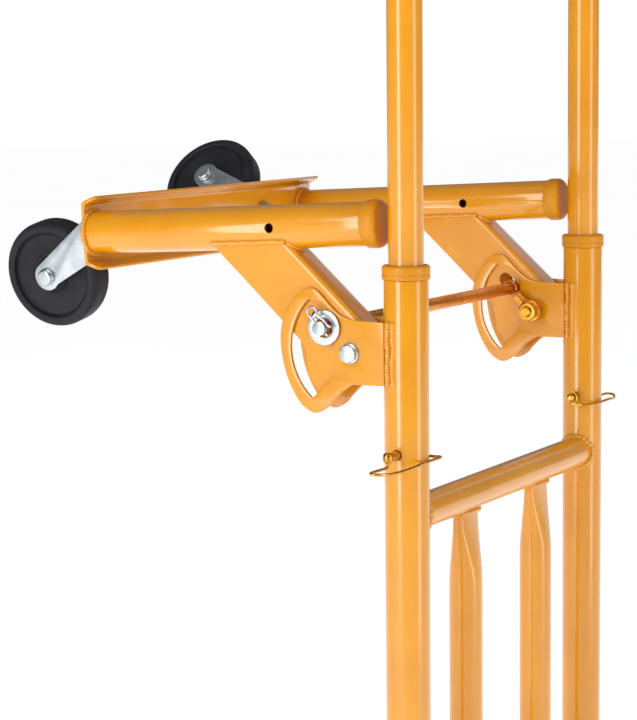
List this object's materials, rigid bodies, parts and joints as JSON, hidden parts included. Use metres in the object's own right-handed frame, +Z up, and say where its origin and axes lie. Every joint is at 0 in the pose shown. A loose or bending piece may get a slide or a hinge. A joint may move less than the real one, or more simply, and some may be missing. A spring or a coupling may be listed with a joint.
{
  "type": "stair climbing trolley",
  "caption": "Upright tubular hand truck with three-wheel stars for stairs, telescopic handle and a fold-down castor support held by a sprung lock rod.",
  "frame": {"origin": "on the floor under the toe plate, midway between the two uprights and in their plane", "axes": "+Z up, -Y towards the load on the toe plate, +Y towards the person pushing and the castor support, +X to the left side as that person sees it"},
  "size_m": [0.5354, 0.6997, 1.3741],
  "materials": {
    "orange_paint": "semi-gloss powder coat",
    "amber_plastic": "moulded plastic, satin",
    "zinc": "bright zinc plate",
    "yellow_zinc": "yellow passivated zinc plate",
    "black_wire": "blackened spring wire",
    "charcoal_tyre": "moulded rubber, matt",
    "amber_wheel": "moulded elastic wheel, satin",
    "grip_rubber": "soft matt rubber"
  },
  "bodies": {
    "frame": {"upper_crossbar": "orange_paint", "lower_crossbar": "orange_paint", "toe_plate": "orange_paint", "star_axle": "zinc", "upright_right": "orange_paint", "slat_right": "orange_paint", "collar_right": "amber_plastic", "axle_plate_right": "orange_paint", "pivot_bolt_right": "zinc", "pivot_nut_right": "zinc", "lock_pin_right": "yellow_zinc", "star_cap_right": "amber_plastic", "bracket_right_outer": "orange_paint", "bracket_right_inner": "orange_paint", "upright_left": "orange_paint", "slat_left": "orange_paint", "collar_left": "amber_plastic", "axle_plate_left": "orange_paint", "pivot_bolt_left": "zinc", "pivot_nut_left": "zinc", "lock_pin_left": "yellow_zinc", "star_cap_left": "amber_plastic", "bracket_left_outer": "orange_paint", "bracket_left_inner": "orange_paint"},
    "handle": {"handle_bow": "orange_paint", "grip_right": "grip_rubber", "grip_left": "grip_rubber"},
    "support": {"rear_plate": "orange_paint", "support_tube_right": "orange_paint", "tube_cap_right": "amber_plastic", "support_arm_right": "orange_paint", "castor_head_right": "zinc", "support_tube_left": "orange_paint", "tube_cap_left": "amber_plastic", "support_arm_left": "orange_paint", "castor_head_left": "zinc"},
    "lock": {"lock_rod": "orange_paint", "lock_washer_right": "zinc", "lock_clip_right": "black_wire", "lock_spring_right": "zinc", "lock_washer_left": "zinc", "lock_clip_left": "black_wire", "lock_spring_left": "zinc"},
    "castor_fork_body_right": {"castor_fork_right": "zinc", "castor_bolt_right": "zinc"},
    "castor_wheel_body_right": {"castor_wheel_right": "charcoal_tyre"},
    "star_body_right": {"star_right": "orange_paint"},
    "star_wheel_body_right_top": {"star_wheel_right_top": "amber_wheel"},
    "star_wheel_body_right_front": {"star_wheel_right_front": "amber_wheel"},
    "star_wheel_body_right_rear": {"star_wheel_right_rear": "amber_wheel"},
    "wire_lock_body_right": {"wire_lock_right": "yellow_zinc"},
    "castor_fork_body_left": {"castor_fork_left": "zinc", "castor_bolt_left": "zinc"},
    "castor_wheel_body_left": {"castor_wheel_left": "charcoal_tyre"},
    "star_body_left": {"star_left": "orange_paint"},
    "star_wheel_body_left_top": {"star_wheel_left_top": "amber_wheel"},
    "star_wheel_body_left_front": {"star_wheel_left_front": "amber_wheel"},
    "star_wheel_body_left_rear": {"star_wheel_left_rear": "amber_wheel"},
    "wire_lock_body_left": {"wire_lock_left": "yellow_zinc"}
  },
  "joints": [
    {"name": "handle_slide", "type": "slide", "parent": "frame", "child": "handle", "axis": [0, 0, 1], "range_m": [-0.15, 0]},
    {"name": "support_fold", "type": "hinge", "parent": "frame", "child": "support", "pos_m": [0, 0.044, 0.7485], "axis": [-1, 0, 0], "range_deg": [0, 66]},
    {"name": "lock_rod_slide", "type": "slide", "parent": "support", "child": "lock", "axis": [0, 0.742, 0.6704], "range_m": [0, 0.012], "stiffness_N_per_m": 900, "deforming": ["lock_spring_right", "lock_spring_left"]},
    {"name": "castor_swivel_right", "type": "hinge", "parent": "support", "child": "castor_fork_body_right", "pos_m": [-0.158, 0.3171, 0.8423], "axis": [0, 0.9987, -0.0506], "continuous": true},
    {"name": "castor_wheel_spin_right", "type": "hinge", "parent": "castor_fork_body_right", "child": "castor_wheel_body_right", "pos_m": [-0.1514, 0.38411, 0.80144], "axis": [0.9848, 0.0088, 0.1734], "continuous": true},
    {"name": "castor_swivel_left", "type": "hinge", "parent": "support", "child": "castor_fork_body_left", "pos_m": [0.108, 0.3171, 0.8423], "axis": [0, 0.9987, -0.0506], "continuous": true},
    {"name": "castor_wheel_spin_left", "type": "hinge", "parent": "castor_fork_body_left", "child": "castor_wheel_body_left", "pos_m": [0.13087, 0.38754, 0.86912], "axis": [-0.7986, 0.0304, 0.601], "continuous": true},
    {"name": "star_spin_right", "type": "hinge", "parent": "frame", "child": "star_body_right", "pos_m": [-0.237, 0.033, 0.13], "axis": [1, 0, 0], "continuous": true},
    {"name": "star_wheel_spin_right_top", "type": "hinge", "parent": "star_body_right", "child": "star_wheel_body_right_top", "pos_m": [-0.237, 0.033, 0.23], "axis": [1, 0, 0], "continuous": true},
    {"name": "star_wheel_spin_right_front", "type": "hinge", "parent": "star_body_right", "child": "star_wheel_body_right_front", "pos_m": [-0.237, -0.0536, 0.08], "axis": [1, 0, 0], "continuous": true},
    {"name": "star_wheel_spin_right_rear", "type": "hinge", "parent": "star_body_right", "child": "star_wheel_body_right_rear", "pos_m": [-0.237, 0.1196, 0.08], "axis": [1, 0, 0], "continuous": true},
    {"name": "star_spin_left", "type": "hinge", "parent": "frame", "child": "star_body_left", "pos_m": [0.237, 0.033, 0.13], "axis": [1, 0, 0], "continuous": true},
    {"name": "star_wheel_spin_left_top", "type": "hinge", "parent": "star_body_left", "child": "star_wheel_body_left_top", "pos_m": [0.237, 0.033, 0.23], "axis": [1, 0, 0], "continuous": true},
    {"name": "star_wheel_spin_left_front", "type": "hinge", "parent": "star_body_left", "child": "star_wheel_body_left_front", "pos_m": [0.237, -0.0536, 0.08], "axis": [1, 0, 0], "continuous": true},
    {"name": "star_wheel_spin_left_rear", "type": "hinge", "parent": "star_body_left", "child": "star_wheel_body_left_rear", "pos_m": [0.237, 0.1196, 0.08], "axis": [1, 0, 0], "continuous": true},
    {"name": "wire_lock_swing_right", "type": "hinge", "parent": "frame", "child": "wire_lock_body_right", "pos_m": [-0.2264, 0, 0.665], "axis": [0, 0, -1], "range_deg": [0, 100]},
    {"name": "wire_lock_swing_left", "type": "hinge", "parent": "frame", "child": "wire_lock_body_left", "pos_m": [0.2264, 0, 0.665], "axis": [0, 0, 1], "range_deg": [0, 100]}
  ]
}
